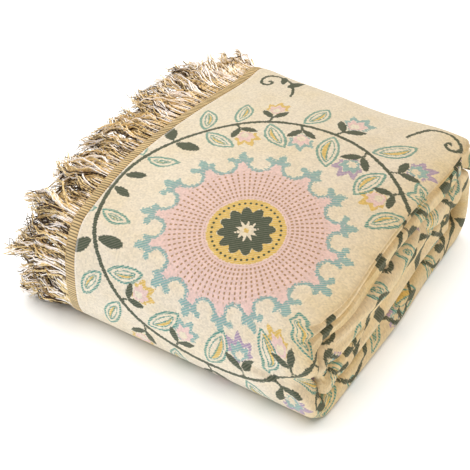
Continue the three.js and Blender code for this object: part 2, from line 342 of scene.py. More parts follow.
class ThrowPatternSizes(bpy.types.PropertyGroup):
    """Sizes of the woven pattern, measured on the flat cloth from the hem and from the back edge."""

    wreath_middle: place_property(
        "Wreath middle", "Middle of the wreath, from the hem and from the back edge", 146, 274
    )
    medallion_middle: place_property(
        "Medallion middle", "Middle of the round medallion, from the hem and from the back edge", 144, 280
    )
    wreath_across: length_property("Wreath across", "Half of the wreath's width", 143)
    wreath_along: length_property("Wreath along", "Half of the wreath's length", 154)
    vine_width: length_property("Vine", "Width of the wreath's vine", 4.2)
    medallion_radius: length_property("Medallion", "Radius to the tips of the wave scrolls", 100)
    repeat: length_property("Repeat", "Length after which the pattern repeats along the cloth", 540)
    side_vine: length_property("Side vine", "Distance of the wavy side vine from the hem", 272)
    side_wave: length_property("Side wave", "Length of one wave of the side vine", 90)
    scroll_count: count_property("Scrolls", "Wave scrolls round the medallion", 16, 6)
    ray_count: count_property("Rays", "Rows of dashes on the medallion", 76, 6)
    dot_count: count_property("Dots", "Dots round the gold ring", 38, 6)
    stitch: length_property("Stitch", "Pitch of the slanting stitches of a coloured yarn, as drawn", 2.8)
    thread_along: length_property("Thread along", "Pitch of the threads along the cloth, as drawn", 1.5)
    thread_across: length_property("Thread across", "Pitch of the threads across the cloth, as drawn", 1.7)


class ThrowFringeSizes(bpy.types.PropertyGroup):
    """Sizes of the heading and of the fringe."""

    heading_gap: length_property("Heading gap", "Distance of the heading from the hem", 0.3)
    heading_width: length_property("Heading width", "Width of the ribbed heading", 10)
    heading_thickness: length_property("Heading thickness", "Thickness of the ribbed heading", 2.6)
    rib_pitch: length_property("Rib pitch", "Distance between the heading's ribs", 2.9)
    strand_length: length_property("Strand length", "Length of a fringe strand", 60)
    strand_spread: length_property("Length spread", "Spread of the strands' lengths", 5)
    strand_radius: length_property("Strand radius", "Radius of a fringe strand", 1.1)
    lock_radius: length_property("Lock radius", "Radius of a loose lock of strands", 4.2)
    fan: length_property("Fan", "Distance by which the tips at the back end fan out", 20)
    front_lean: share_property("Front lean", "Share of the fan by which the front end leans back instead", 0.45)
    fan_shift: share_property("Fan shift", "Share of the half length by which the fan's middle lies back", 0.2)
    sway: length_property("Sway", "Distance by which the locks of strands lean aside", 8)
    crimp: length_property("Crimp", "Size of the waves that the weave has left in a strand", 1.3)
    crimp_pitch: length_property("Crimp pitch", "Length of one of these waves", 15)
    stray_share: share_property("Strays", "Share of the strands that leave their lock", 0.16)
    twist_pitch: length_property("Twist pitch", "Length of one twist of the plied yarn", 5)
    lock_ribs: count_property("Lock ribs", "Ribs of the heading that one lock takes in", 2, 1)
    shown_strands: count_property("Shown strands", "Strands per rib where the fringe shows", 12, 1)
    hidden_strands: count_property("Hidden strands", "Strands per rib in the levels below", 4, 1)


class ThrowColours(bpy.types.PropertyGroup):
    """Colours of the yarns."""

    cream: colour_property("Cream", "Ground of the cloth", "F1E6D2")
    # The yellow of the cross threads, which is also painted as warm shade towards the folded edge and over the rolls
    straw_and_warm_shade: colour_property("Straw", "Weft that shows through the ground", "E3CC94")
    rose: colour_property("Rose", "Medallion and buds", "EFD0CA")
    sky: colour_property("Sky", "Wave scrolls and buds", "8CB6B4")
    gold: colour_property("Gold", "Ring, bud tips and leaf hearts", "E6C264")
    teal: colour_property("Teal", "Stitched leaves", "5B9C90")
    lilac: colour_property("Lilac", "Bud tips", "B09ABA")
    slate: colour_property("Slate", "Vine, stalks, dark leaves and rosette", "505A4A")
    dash: colour_property("Dash", "Dashes on the medallion", "BC9670")
    heading: colour_property("Heading", "Ribbed heading", "DEC392")
    ochre: colour_property("Ochre", "Fringe yarn", "EACF96")
    pale: colour_property("Pale", "Fringe yarn", "FDF5EE")
    brown: colour_property("Brown", "Fringe yarn", "3A2414")


def along_leg(u, v, heading, bend, distance):
    """Point and heading after a distance along a leg of constant bend, which is one over its radius and 0 on a run.

    The heading grows by bend times distance, and the point moves by the integrals of its cosine and sine."""
    if bend == 0:
        return u + distance * np.cos(heading), v + distance * np.sin(heading), heading + 0 * distance
    turned = heading + bend * distance
    return (
        u + (np.sin(turned) - np.sin(heading)) / bend,
        v - (np.cos(turned) - np.cos(heading)) / bend,
        turned,
    )


def walk(start, legs, at):
    """Points and headings at the distances `at` along legs of (length, bend), from a start of (u, v, heading)."""
    at = np.asarray(at, float)
    here = start
    done = 0.0
    found = np.zeros((3,) + at.shape)
    for length, bend in legs:
        reached = at >= done - 1e-9
        found = np.where(reached, np.stack(along_leg(*here, bend, at - done)), found)
        here = along_leg(*here, bend, length)
        done += length
    return found


def smoothstep(value, low, high):
    """0 below low, 1 above high, and a smooth cubic between them."""
    share = np.clip((value - low) / (high - low), 0, 1)
    return share * share * (3 - 2 * share)


def bell(distance):
    """The bell curve: one over e to the square of the distance."""
    return np.exp(-distance * distance)


class Pack:
    """The folded pack: a strip rolled from the cloth, folded into four levels, and settled."""

    def __init__(self, sizes):
        """Works out the strip's and the route's legs of (length, bend), and where the pack lies in the frame."""
        self.sizes = sizes
        self.rise = sizes.layer_pitch * (LAYER_COUNT - 1) / 2
        self.half = self.rise + sizes.sheet_thickness / 2
        self.right = sizes.strip_width - self.half
        left = sizes.hem_lap + self.rise - sizes.layer_pitch / 2 + sizes.sheet_thickness / 2
        self.top = self.half + 3 * sizes.level_pitch
        self.height = self.top + self.half
        self.strip = []
        for layer in range(LAYER_COUNT):
            begin = left if layer else 0
            end = self.right - (sizes.last_layer_short if layer == LAYER_COUNT - 1 else 0)
            self.strip.append((end - begin, 0))
            if layer < LAYER_COUNT - 1:
                radius = self.rise - layer * sizes.layer_pitch / 2
                self.strip.append((math.pi * radius, -1 / radius))
        run = sizes.back_turn - sizes.front_turn
        level = sizes.level_pitch
        self.route = [
            (2 * level * sizes.top_drape, 1 / (2 * level)),
            (run, 0),
            (1.5 * level * math.pi, 1 / (1.5 * level)),
            (run, 0),
            (level * math.pi, 1 / level),
            (run, 0),
            (0.5 * level * math.pi, 2 / level),
            (sizes.hidden_end - sizes.front_turn, 0),
        ]
        self.strip_length = sum(length for length, _ in self.strip)
        self.route_length = sum(length for length, _ in self.route)
        self.shown_route = sum(length for length, _ in self.route[:3])
        self.seam = self.right + math.pi * self.rise + 12 * MM
        self.origin = np.zeros(3)
        ends = (self.right, self.route_length)
        across, along = np.meshgrid(*(np.linspace(0, end, count) for end, count in zip(ends, PACK_STEPS)))
        half_sheet = sizes.sheet_thickness / 2
        neat = self.cloth(across, along, half_sheet, 0)
        self.origin = BLANKET_LOW - neat.reshape(-1, 3).min(0)
        self.arc_route = np.linspace(0, self.route_length, ROUTE_STEPS)
        outer = self.cloth(np.full_like(self.arc_route, 0.5 * self.right), self.arc_route, half_sheet, 0)
        self.arc_length = np.append(0, np.cumsum(np.linalg.norm(np.diff(outer, axis=0), axis=1)))

    def at_arc(self, arc):
        """Place on the route at a true distance along the cloth's outer face from its back edge."""
        return np.interp(arc, self.arc_length, self.arc_route)

    def arc(self, along):
        """True distance along the cloth's outer face at a place on the route."""
        return np.interp(along, self.arc_route, self.arc_length)

    def creased(self, x, y, z):
        """Moves of the main creases. Each is a trough: its depth times the bell of the distance across it over its
        width, times the bell of the distance along it over its length, and it fades out behind its face. The middle
        line of a bowed one is a parabola."""
        sizes = self.sizes
        faces = {
            "top": (x, y, 2, smoothstep(z, TOP_BEGIN * self.height, self.height)),
            "front": (x, z, 1, -smoothstep(-y, -FRONT_BEGIN * sizes.front_turn, 0)),
            "rolls": (y, z, 0, smoothstep(x, ROLLS_BEGIN * sizes.strip_width, sizes.strip_width)),
        }
        move = np.zeros(np.shape(x) + (3,))
        for face, place_a, place_b, turn, length, width, depth, bow in CREASES:
            a, b, axis, share = faces[face]
            a, b = a - place_a * MM, b - place_b * MM
            cosine, sine = math.cos(math.radians(turn)), math.sin(math.radians(turn))
            run = (a * cosine + b * sine) / (length * MM)
            aside = (b * cosine - a * sine - bow * MM * run**2) / (width * MM)
            move[..., axis] -= share * depth * MM * sizes.crease_strength * bell(run) * bell(aside)
        return move

    def settle(self, x, y, z, creases=1, shifts=EDGE_SHIFTS):
        """Where a point of the neat roll lies in the settled pack: the wraps are drawn in at the front and back, the
        edges shift by the table's bells, the creases are pressed in, and a dome lifts all heights by one share."""
        sizes = self.sizes
        front_reach = 1.5 * sizes.level_pitch + self.half
        back_reach = sizes.level_pitch + self.half
        front = sizes.front_turn + (y - sizes.front_turn) * sizes.front_bulge / front_reach
        back = sizes.back_turn + (y - sizes.back_turn) * sizes.back_bulge / back_reach
        along = np.where(y < sizes.front_turn, front, np.where(y > sizes.back_turn, back, y))
        across = 2 * x / sizes.strip_width - 1
        lengthwise = 2 * along / sizes.pack_length - 1
        edge_share = np.where(across < 0, sizes.crown_at_hem, sizes.crown_at_rolls)
        dome = sizes.crown * (1 - (1 - edge_share) * across**2) * (1 - lengthwise**2)
        fade = sizes.strip_width * sizes.shift_fade
        shares = {"rolls": smoothstep(x, fade, sizes.strip_width), "hem": 1 - smoothstep(x, 0, fade)}
        shift = np.zeros_like(along)
        for side, reach, height, height_spread, place, place_spread in shifts:
            near = bell((z - height * MM) / (height_spread * MM)) * bell((along - place * MM) / (place_spread * MM))
            shift += reach * MM * shares[side] * near
        lift = 1 + dome / self.height
        settled = np.stack([x + shift, along, z * lift], -1)
        if creases:
            settled += creases * self.creased(x, along, z)
        return settled + self.origin

    def section(self, x, rise, along, creases=1, shifts=EDGE_SHIFTS):
        """A point of the strip's section, x from the hem and rise from the strip's middle, at a place on the route.

        Beyond the last turn the section is drawn out from a round to a rounded square: its distance is divided by the
        power mean of the turn's cosine and sine."""
        sizes = self.sizes
        drape = 2 * sizes.level_pitch
        start = (
            sizes.back_turn + drape * math.sin(sizes.top_drape),
            self.top - drape * (1 - math.cos(sizes.top_drape)),
            math.pi - sizes.top_drape,
        )
        y, z, heading = walk(start, self.route, along)
        beyond = np.maximum(x - self.right, 0)
        turn = np.arctan2(rise, beyond)
        front_wrap = self.shown_route - self.route[2][0]
        on_top = 1 - smoothstep(along, front_wrap - SQUARE_FADE * MM, front_wrap)
        power = sizes.squareness + (sizes.top_squareness - sizes.squareness) * on_top
        squarer = (np.abs(np.cos(turn)) ** power + np.abs(np.sin(turn)) ** power) ** (-1 / power)
        x, rise = np.where(beyond > 0, self.right + beyond * squarer, x), np.where(beyond > 0, rise * squarer, rise)
        return self.settle(x, y + rise * np.sin(heading), z - rise * np.cos(heading), creases, shifts)

    def cloth(self, across, along, lift, creases=1, sunk=0, shifts=EDGE_SHIFTS):
        """A point of the cloth: `across` from the hem along the rolled strip, `along` the route, and `lift` from the
        middle of its thickness. Sunk layers draw back from the rolls and to the strip's middle, clear of creases."""
        u, v, heading = walk((0.0, self.rise, 0.0), self.strip, across)
        x, rise = u - lift * np.sin(heading), v + lift * np.cos(heading)
        x = x - SUNK_BACK * MM * sunk * smoothstep(x, SUNK_BEGIN * self.right, self.right)
        return self.section(x, rise * (1 - SUNK_IN * sunk), along, creases, shifts)


def steps(begin, end, pitch):
    """Evenly spaced values from begin to end, about a pitch apart."""
    return np.linspace(begin, end, max(2, int(round((end - begin) / pitch)) + 1))


def grid_faces(numbers):
    """Four-sided faces of a grid of point numbers, which run down its rows and then across."""
    return np.stack([numbers[:-1, :-1], numbers[1:, :-1], numbers[1:, 1:], numbers[:-1, 1:]], -1).reshape(-1, 4)


def zip_faces(first, first_at, second, second_at, turned):
    """Triangles that join two rows of points with different spacings. Each edge of a row is joined to the other row's
    point that has been reached when both rows are walked in step, by the places given for their points."""
    reached = np.searchsorted(second_at[1:], first_at[1:], "left")
    ahead = np.searchsorted(first_at[1:], second_at[1:], "right")
    faces = np.concatenate(
        [
            np.stack([first[:-1], first[1:], second[reached]], -1),
            np.stack([first[ahead], second[1:], second[:-1]], -1),
        ]
    )
    return faces[:, ::-1] if turned else faces


def leaf_distance(along, across, length, width):
    """Distance outside a pointed leaf, below 0 inside it: the overlap of two discs that meet in its tips."""
    radius = (length * length + width * width) / (4 * width)
    return np.hypot(along - length / 2, np.abs(across) + radius - width / 2) - radius


def stroke_distance(points, path, width):
    """Distance outside a drawn line, below 0 inside it: the least distance to the path's segments, less half of the
    line's width."""
    step = path[1:] - path[:-1]
    offset = points[:, None, :] - path[:-1]
    share = np.clip((offset * step).sum(-1) / (step * step).sum(-1), 0, 1)
    return np.linalg.norm(offset - share[..., None] * step, axis=-1).min(1) - width / 2


class PatternChart:
    """For each yarn, every cloth point's distance outside the places where that yarn shows, in metres."""

    def __init__(self, points, sizes):
        self.sizes = sizes
        self.middle = np.array(sizes.wreath_middle)
        offset = points - self.middle
        offset[:, 1] = (offset[:, 1] + sizes.repeat / 2) % sizes.repeat - sizes.repeat / 2
        self.points = offset
        self.yarns = {name: np.full(len(points), FAR_OFF) for name in CHARTED}

    def near(self, place, reach):
        """Numbers of the points within a reach of a place."""
        return np.flatnonzero((np.abs(self.points - place) < reach).all(1))

    def show(self, yarn, rows, distance):
        """Brings a yarn to the face where the distance is below 0."""
        self.yarns[yarn][rows] = np.minimum(self.yarns[yarn][rows], distance)

    def hide(self, rows, distance, *yarns):
        """Takes yarns off the face where the distance is below 0."""
        for yarn in yarns:
            self.yarns[yarn][rows] = np.maximum(self.yarns[yarn][rows], -distance)

    def local(self, rows, base, turn):
        """The points' distances along and across a line that leaves a base at a turn."""
        offset = self.points[rows] - base
        cosine, sine = math.cos(turn), math.sin(turn)
        return offset[:, 0] * cosine + offset[:, 1] * sine, offset[:, 1] * cosine - offset[:, 0] * sine

    def line(self, yarn, path, width):
        """A drawn line along a path."""
        low, high = path.min(0) - width * 3, path.max(0) + width * 3
        rows = np.flatnonzero(((self.points > low) & (self.points < high)).all(1))
        if len(rows):
            self.show(yarn, rows, stroke_distance(self.points[rows], path, width))

    def dark_leaf(self, base, turn, size):
        """A solid pointed leaf."""
        rows = self.near(base, 40 * MM)
        along, across = self.local(rows, base, turn)
        length, width = (side * MM * size for side in DARK_LEAF)
        self.show("slate", rows, leaf_distance(along, across, length, width))

    def stitched_leaf(self, base, turn, size):
        """A leaf for the stitched yarns: the distance outside it, and the place across it from its bent midrib."""
        rows = self.near(base, 62 * MM)
        along, across = self.local(rows, base, turn)
        length, width = (side * MM * size for side in STITCHED_LEAF)
        bent = across - 2.5 * MM * np.sin(math.pi * np.clip(along / length, 0, 1))
        leaf = leaf_distance(along, bent, length, width)
        nearest = leaf < self.yarns["leaf"][rows]
        self.yarns["leaf"][rows[nearest]] = leaf[nearest]
        self.yarns["leaf_side"][rows[nearest]] = bent[nearest]

    def bud(self, base, turn, size, heart, rim):
        """An opening bud: two dark sepals, a heart round an eye of ground, and a rim whose edge rises in five points.

        In polar coordinates from the cup's middle the edge is a base radius plus a share that falls off to the sides
        as a cosine and drops to half in the valleys between the points."""
        rows = self.near(base, 70 * MM)
        length, width = (side * MM * size for side in SEPAL)
        for way in (-1, 1):
            along, across = self.local(rows, base, turn + way * math.radians(SEPAL_TURN))
            self.show("slate", rows, leaf_distance(along, across, length, width))
        along, across = self.local(rows, base, turn)
        along = along - CUP_MIDDLE * MM * size
        radius, angle = np.hypot(along, across), np.arctan2(across, along)
        valley = 2 * np.abs((angle / POINT_TURN + 0.5) % 1 - 0.5)
        points = (1 - 0.5 * valley) * np.clip(np.cos(0.95 * angle), 0, 1)
        edge, core, eye = (radius - (low + rise * points) * MM * size for low, rise in CUP_EDGES)
        self.show(rim, rows, 0.8 * edge)
        self.hide(rows, core, rim)
        self.show(heart, rows, core)
        self.hide(rows, eye, heart)

    def motif(self, kind, base, turn, size):
        """One of the wreath's motifs."""
        if kind in BUD_YARNS:
            self.bud(base, turn, size, *BUD_YARNS[kind])
        else:
            if kind != "dark_leaf":
                self.stitched_leaf(base, turn, size)
            if kind != "leaf":
                self.dark_leaf(base, turn, size if kind == "dark_leaf" else 0.7 * size)

    def wreath_point(self, turn):
        """Point of the wreath's oval at a turn, with its outward direction."""
        sizes = self.sizes
        place = np.array([sizes.wreath_across * math.cos(turn), sizes.wreath_along * math.sin(turn)])
        outward = math.atan2(math.sin(turn) / sizes.wreath_along, math.cos(turn) / sizes.wreath_across)
        return place, outward

    def wreath(self):
        """The vine, an oval, with stalks that carry leaves and buds outside and inside of it."""
        sizes = self.sizes
        turn = np.linspace(0, FULL_TURN, 121)
        oval = np.stack([sizes.wreath_across * np.cos(turn), sizes.wreath_along * np.sin(turn)], -1)
        self.line("slate", oval, sizes.vine_width)
        for mirror in (-1, 1):
            for degrees, outside, inside, size in WREATH_ROWS:
                place, outward = self.wreath_point(mirror * math.radians(degrees))
                for kind, way, lean in ((outside, outward, -STALK_LEAN), (inside, outward + math.pi, STALK_LEAN)):
                    heading = way + mirror * lean
                    stalk = (BUD_STALK if kind in BUD_YARNS else LEAF_STALK) * MM * size
                    base = place + stalk * np.array([math.cos(heading), math.sin(heading)])
                    if kind in BUD_YARNS:
                        self.line("slate", np.stack([place, base]), STALK_WIDTH * MM)
                    self.motif(kind, base, heading - mirror * (0.5 * lean if kind in BUD_YARNS else 0), size)

    def tendrils(self):
        """Crooks at the wreath's corners: a spiral whose radius shrinks with its turn, and a long tail, a second
        radius that shrinks much faster."""
        left = np.linspace(1, 0, 61)
        turn = math.radians(160) + math.radians(470) * (1 - left)
        radius = 12.5 * left**0.8 + 31 * left**8 + 1
        crook = np.stack([radius * np.cos(turn), radius * np.sin(turn)], -1)
        for along in (-1, 1):
            for across, place in ((-1, -122), (1, 97)):
                middle = np.array([place, 217 * along])
                self.line("slate", (middle + crook * np.array([across, -along])) * MM, 3.4 * MM)
            for across, place, leaf_turn, size in ((-96, 216, 1.1, 0.9), (-104, 220, 2.0, 0.7)):
                self.motif("dark_leaf", np.array([across, place * along]) * MM, along * leaf_turn, size)

    def side_vine(self):
        """A wavy vine along the folded edge between two wreaths: a sine over the length, with a leaf, a dark leaf or
        a bud at each third of its wave, and one leaf with a dark heart."""
        sizes = self.sizes
        middle = sizes.side_vine - self.middle[0]
        half = sizes.repeat / 2
        for mirror in (-1, 1):
            along = mirror * np.linspace(0.4 * half, half, 61)
            swing = np.sin(FULL_TURN * along / sizes.side_wave)
            self.line("slate", np.stack([middle + SIDE_SWING * MM * swing, along], -1), SIDE_VINE_WIDTH * MM)
            thirds = np.arange(0.42 * half, half, sizes.side_wave / 3)
            for number, place in enumerate(mirror * thirds):
                swing = math.sin(FULL_TURN * place / sizes.side_wave)
                base = np.array([middle + SIDE_SWING * MM * swing, place])
                kind = ("leaf", "dark_leaf", "leaf", "bud_sky_lilac")[number % 4]
                self.motif(kind, base, mirror * (0.9 if number % 2 else 2.1), 0.72)
            self.motif("dark_heart", np.array([middle - 8 * MM, mirror * 166 * MM]), mirror * 1.35, 1.1)

    def medallion(self):
        """The round medallion: a rose disc with wave scrolls round its rim, a gold ring, a dark rosette and a star.

        Polar coordinates repeat the scrolls: each is a bay of ground in the disc's edge, in a band that is open
        outwards and curls at one end, and between two bays a spike of the disc ends in three small leaves."""
        sizes = self.sizes
        middle = np.array(sizes.medallion_middle) - self.middle
        unit = sizes.medallion_radius / MEDALLION_PARTS
        rim, bay_row, spike_row, ring = 88 * unit, 83 * unit, 82 * unit, 31 * unit
        rows = self.near(middle, 108 * unit)
        x, y = (self.points[rows] - middle).T
        radius, angle = np.hypot(x, y), np.arctan2(y, x)
        sector = FULL_TURN / sizes.scroll_count
        from_bay = (angle + sector / 2) % sector - sector / 2
        out, aside = radius * np.cos(from_bay) - bay_row, radius * np.sin(from_bay)
        bay = np.hypot(out, aside)
        self.show("rose", rows, np.maximum(radius - rim, 10 * unit - bay))
        self.show("sky", rows, np.maximum(np.abs(bay - 10.8 * unit) - 1.7 * unit, out - 5.5 * unit))
        self.show("sky", rows, np.hypot(out - 6 * unit, aside - 7.4 * unit) - 3.3 * unit)
        from_spike = angle % sector - sector / 2
        out, aside = radius * np.cos(from_spike) - spike_row, radius * np.sin(from_spike)
        for turn, length, width in ((0.1, 16, 8), (0.95, 11, 6), (-0.85, 10.5, 6)):
            along = out * math.cos(turn) + aside * math.sin(turn)
            across = aside * math.cos(turn) - out * math.sin(turn)
            self.show("sky", rows, leaf_distance(along - 1.5 * unit, across, length * unit, width * unit))
        self.hide(rows, radius - 35 * unit, "rose")
        self.show("gold", rows, np.abs(radius - ring) - 4.2 * unit)
        rosette = radius - (18 + 8 * np.abs(np.cos(6 * angle)) ** 0.7) * unit
        self.show("gold", rows, radius - 34 * unit)
        self.hide(rows, rosette, "gold")
        self.show("slate", rows, rosette)
        point = np.abs((angle / FULL_TURN * 10) % 1 - 0.5) * 2
        star = radius - (4.6 + 9 * point**1.8) * unit
        self.hide(rows, star, "slate")
        self.show("gold", rows, radius - 2.6 * unit)


def weave_pattern(points, sizes):
    """Distances of all yarns at the cloth's points, given from the hem and from the back edge."""
    chart = PatternChart(points.copy(), sizes)
    chart.wreath()
    chart.tendrils()
    chart.side_vine()
    chart.medallion()
    return chart.yarns


def add_node(tree, kind, links=(), **settings):
    """Adds a shader node with its settings and inputs, each a socket to link or a value. Gives its first output."""
    node = tree.nodes.new("ShaderNode" + kind)
    for name, value in settings.items():
        setattr(node, name, value)
    for place, value in links.items() if isinstance(links, dict) else enumerate(links):
        socket = node.inputs[place]
        if isinstance(value, bpy.types.NodeSocket):
            tree.links.new(value, socket)
        else:
            socket.default_value = (*value, 1) if socket.type == "RGBA" else value
    return next((output for output in node.outputs if output.enabled), None)


def new_material(name):
    """An empty material, and add_node for its tree."""
    material = bpy.data.materials.new(name)
    material.use_nodes = True
    material.node_tree.nodes.clear()
    return material, partial(add_node, material.node_tree)


def close_material(add, inputs):
    """Ends a material's tree with its shader, which takes the inputs, and its output."""
    add("OutputMaterial", {"Surface": add("BsdfPrincipled", inputs)})


def wave(add, distance, pitch=1, operation="SINE"):
    """A sine or cosine of a distance, with one full turn to a pitch."""
    turn = add("Math", (distance, FULL_TURN / pitch), operation="MULTIPLY")
    return add("Math", (turn,), operation=operation)


def jacquard_cotton(pattern, colours):
    """Jacquard-woven cotton: a matt, slightly napped ground of cream threads, on which coloured threads float to the
    face. The eye sees their stitched edges, fine ribs and a soft bloom where the cloth turns away."""
    material, add = new_material("Jacquard woven cotton")
    place = add("UVMap", uv_map="cloth")
    across, along = add("SeparateXYZ", (place,)).node.outputs[:2]
    # Threads: their cells are drawn about twice as coarse as spun, so that they show
    cell = (pattern.thread_across, pattern.thread_along, 1)
    snapped = add("VectorMath", (place, cell), operation="SNAP")
    chance = add("TexWhiteNoise", (snapped,), noise_dimensions="2D")
    ground = cream_ground(add, place, across, colours)
    colour, raised = floated_yarns(add, place, chance, pattern, colours, ground)
    colour, sunk = medallion_stitches(add, place, pattern, colours, colour)
    # Hem: the colour turns lighter over the last threads beside the hem
    hem = add("MapRange", (across, 2.4 * MM, 1.4 * MM, 0.0, 0.3))
    colour = add("Mix", {0: hem, 6: colour, 7: tuple(colours.pale)}, data_type="RGBA")
    tone = add("MapRange", (chance, 0.0, 1.0, 0.88, 1.06))
    colour = add("VectorMath", {0: colour, "Scale": tone}, operation="SCALE")
    # Relief: ribs of the ground, floats of coloured thread that stand a little proud, and sunk dashes
    ribs = wave(add, along, pattern.thread_along)
    picks = wave(add, across, pattern.thread_across)
    threads = add("Math", (ribs, picks), operation="MULTIPLY")
    relief = chance
    for part, height in ((threads, 0.6), (raised, 1.0), (sunk, -1.6)):
        relief = add("Math", (part, height, relief), operation="MULTIPLY_ADD")
    bump = add("Bump", {"Strength": 0.8, "Distance": 0.35 * MM, "Height": relief})
    sheen = {"Sheen Weight": 0.15, "Sheen Roughness": 0.45, "Sheen Tint": tuple(colours.cream)}
    close_material(add, {"Base Color": colour, "Normal": bump, "Roughness": 0.92, **COTTON, **sheen})
    return material


def cream_ground(add, place, across, colours):
    """The ground's colour: the yellow cross threads show through the cream in soft patches, and more towards the folded
    edge. There and over the rolls the rising yellow share is partly painted warm shade."""
    mottle = add("TexNoise", {"Vector": place, "Scale": 1 / (38 * MM), "Detail": 3.0})
    patch = add("MapRange", (mottle, 0.42, 0.75, 0.0, 0.28))
    # Painted warm shade, partly real yellow threads: the yellow share rises towards the folded edge and over the rolls
    edge_share = add("MapRange", (across, 215 * MM, 285 * MM, 0.0, 0.85))
    weft_and_painted_shade = add("Math", (patch, edge_share), operation="ADD")
    return add("Mix", {0: weft_and_painted_shade, 6: tuple(colours.cream), 7: tuple(colours.straw_and_warm_shade)}, data_type="RGBA")


def floated_yarns(add, place, chance, pattern, colours, colour):
    """The colour with all yarns over it, and their share of the surface.

    A yarn shows where its distance is below 0. Its edge steps from thread to thread, and the troughs of a slanting
    wave let the ground through between its stitches."""
    slope = (0.75 / pattern.stitch, 1 / pattern.stitch, 0)
    slanted = add("VectorMath", (place, slope), operation="DOT_PRODUCT").node.outputs["Value"]
    between = add("MapRange", (wave(add, slanted), -0.2, 0.7))
    jitter = add("Math", (chance, 0.5), operation="SUBTRACT")
    distances = charted_distances(add)
    raised = 0.0
    for yarn, (edge_step, ground_share) in YARNS.items():
        edge = add("Math", (jitter, 2 * edge_step * MM, distances[yarn]), operation="MULTIPLY_ADD")
        inside = add("MapRange", (edge, 0.3 * MM, -0.3 * MM))
        stitched = add("Math", (between, -ground_share, 1.0), operation="MULTIPLY_ADD")
        share = add("Math", (inside, stitched), operation="MULTIPLY")
        colour = add("Mix", {0: share, 6: colour, 7: tuple(getattr(colours, yarn))}, data_type="RGBA")
        raised = add("Math", (raised, share), operation="MAXIMUM")
    return colour, raised


def charted_distances(add):
    """Each yarn's distance, from the chart. A leaf has a stitched edge and midrib and a fine inner line of teal, and
    gold over half of its heart: bands of the leaf's distance and of the place across it."""
    found = {name: add("Attribute", attribute_name=name).node.outputs["Fac"] for name in CHARTED}
    bands = []
    for source, middle, half in (("leaf", 1.4, 1.2), ("leaf", 5.4, 0.6), ("leaf_side", 0, 0.7)):
        away = add("Math", (found[source], middle * MM), operation="ADD")
        away = add("Math", (away,), operation="ABSOLUTE")
        bands.append(add("Math", (away, half * MM), operation="SUBTRACT"))
    edge, inner_line, midrib = bands
    heart = add("Math", (found["leaf"], 6.2 * MM), operation="ADD")
    midrib = add("Math", (midrib, heart), operation="MAXIMUM")
    edges = add("Math", (edge, inner_line), operation="MINIMUM")
    found["teal"] = add("Math", (edges, midrib), operation="MINIMUM")
    side = add("Math", (found["leaf_side"], -1.0), operation="MULTIPLY")
    half_heart = add("Math", (heart, side), operation="MAXIMUM")
    found["gold"] = add("Math", (found["gold"], half_heart), operation="MINIMUM")
    return found


def medallion_stitches(add, place, pattern, colours, colour):
    """Rows of short dashes that run out over the rose disc, and dots round the gold ring, in polar coordinates.

    Gives the colour with them, and their share of the surface."""
    middle = tuple(pattern.medallion_middle)
    half = pattern.repeat / 2
    high, low = (10, middle[1] + half, 1), (-10, middle[1] - half, -1)
    wrapped = add("VectorMath", (place, high, low), operation="WRAP")
    offset = add("VectorMath", (wrapped, (*middle, 0)), operation="SUBTRACT")
    radius = add("VectorMath", (offset,), operation="LENGTH").node.outputs["Value"]
    x, y = add("SeparateXYZ", (offset,)).node.outputs[:2]
    angle = add("Math", (y, x), operation="ARCTAN2")
    unit = pattern.medallion_radius / MEDALLION_PARTS

    def spread(count):
        """Distance from the middle line of the nearest of `count` rays."""
        sector = FULL_TURN / count
        found = add("Math", (angle, sector), operation="DIVIDE")
        found = add("Math", (found, 0.5, -0.5), operation="WRAP")
        for factor in (sector, radius):
            found = add("Math", (found, factor), operation="MULTIPLY")
        return add("Math", (found,), operation="ABSOLUTE")

    row = add("MapRange", (spread(pattern.ray_count), 1.0 * unit, 0.55 * unit))
    dash = add("MapRange", (wave(add, radius, 4.4 * unit), -0.35, 0.15))
    inner = add("MapRange", (radius, 36.5 * unit, 37.5 * unit))
    outer = add("MapRange", (radius, 73 * unit, 69 * unit))
    for limit in (dash, inner, outer):
        row = add("Math", (row, limit), operation="MULTIPLY")
    colour = add("Mix", {0: row, 6: colour, 7: tuple(colours.dash)}, data_type="RGBA")
    beside = spread(pattern.dot_count)
    away = add("Math", (radius, 30.6 * unit), operation="SUBTRACT")
    away = add("Math", (away, 2.0), operation="POWER")
    reach = add("Math", (beside, beside, away), operation="MULTIPLY_ADD")
    dot = add("MapRange", (reach, (1.4 * unit) ** 2, (0.9 * unit) ** 2))
    colour = add("Mix", {0: dot, 6: colour, 7: tuple(colours.slate)}, data_type="RGBA")
    return colour, add("Math", (row, dot), operation="MAXIMUM")


def plied_cotton(colours, fringe):
    """Plied cotton yarn, unwoven: matt twisted strands of several shades, with fine fibres that catch the light."""
    material, add = new_material("Plied cotton fringe")
    around, along = add("SeparateXYZ", (add("UVMap", uv_map="yarn"),)).node.outputs[:2]
    # Each strand's tone, which is raised towards the back as painted light
    tone = add("Attribute", attribute_name="tone").node.outputs["Fac"]
    twist = wave(add, add("Math", (along, 1 / fringe.twist_pitch, around), operation="MULTIPLY_ADD"))
    ply = add("Math", (twist, 0.1, tone), operation="MULTIPLY_ADD")
    colour = tuple(colours.brown)
    for shade, low, high in ((colours.ochre, 0.1, 0.32), (colours.pale, 0.46, 0.74)):
        share = add("MapRange", (ply, low, high))
        colour = add("Mix", {0: share, 6: colour, 7: tuple(shade)}, data_type="RGBA")
    beyond = add("MapRange", (along, 0.2 * MM, 1.6 * MM))
    colour = add("Mix", {0: beyond, 6: tuple(colours.heading), 7: colour}, data_type="RGBA")
    bump = add("Bump", {"Strength": 0.5, "Distance": 0.3 * MM, "Height": twist})
    sheen = {"Sheen Weight": 0.2, "Sheen Roughness": 0.4}
    close_material(add, {"Base Color": colour, "Normal": bump, "Roughness": 0.9, **COTTON, **sheen})
    return material


